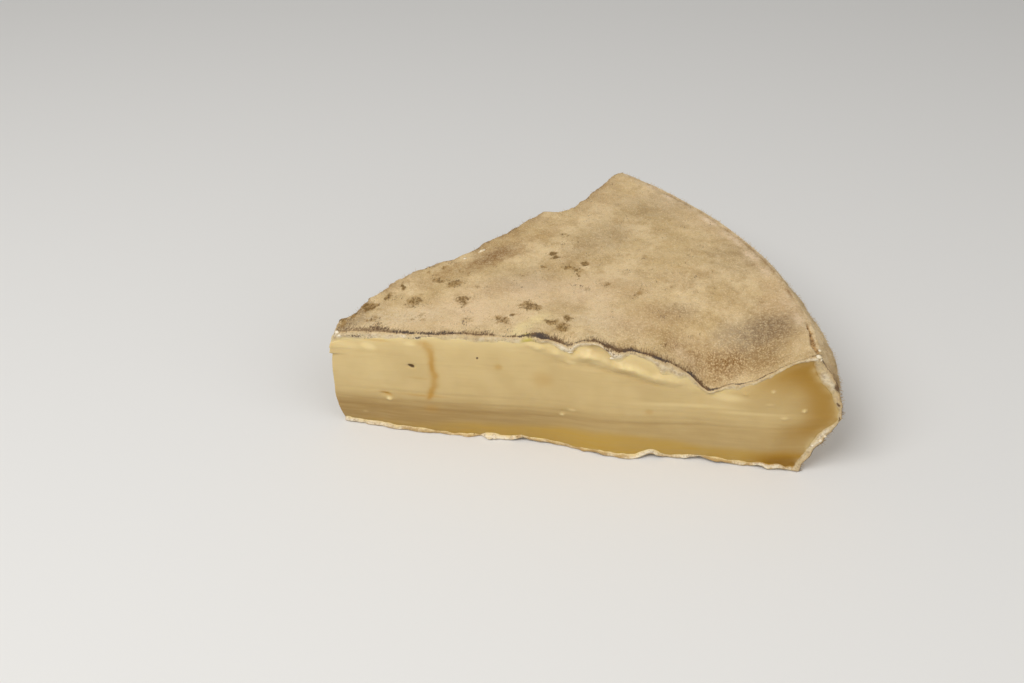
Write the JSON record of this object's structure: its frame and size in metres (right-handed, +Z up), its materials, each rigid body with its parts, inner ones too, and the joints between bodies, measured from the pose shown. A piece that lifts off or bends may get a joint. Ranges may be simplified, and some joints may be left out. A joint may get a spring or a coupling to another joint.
{
  "type": "saint-nectaire cheese wedge",
  "caption": "Wedge of soft-ripened cheese cut from a low round wheel, with a thin mottled mould rind above, below and round the rim and smooth pale paste on its cut faces.",
  "frame": {"origin": "on the plane the wedge rests on, under the middle of its bounding box", "axes": "+X along the front cut from the tip to the rim wall, -Y out of the front cut face, +Z up out of the top rind"},
  "size_m": [0.1284, 0.0932, 0.0367],
  "materials": {
    "rind": "dry velvety mould rind, mottled grey, beige and gold, with olive-brown specks",
    "paste": "smooth moist ivory-yellow paste with a soft gloss and fine knife streaks"
  },
  "bodies": {
    "root": {"cheese_wedge": "rind"}
  },
  "joints": []
}
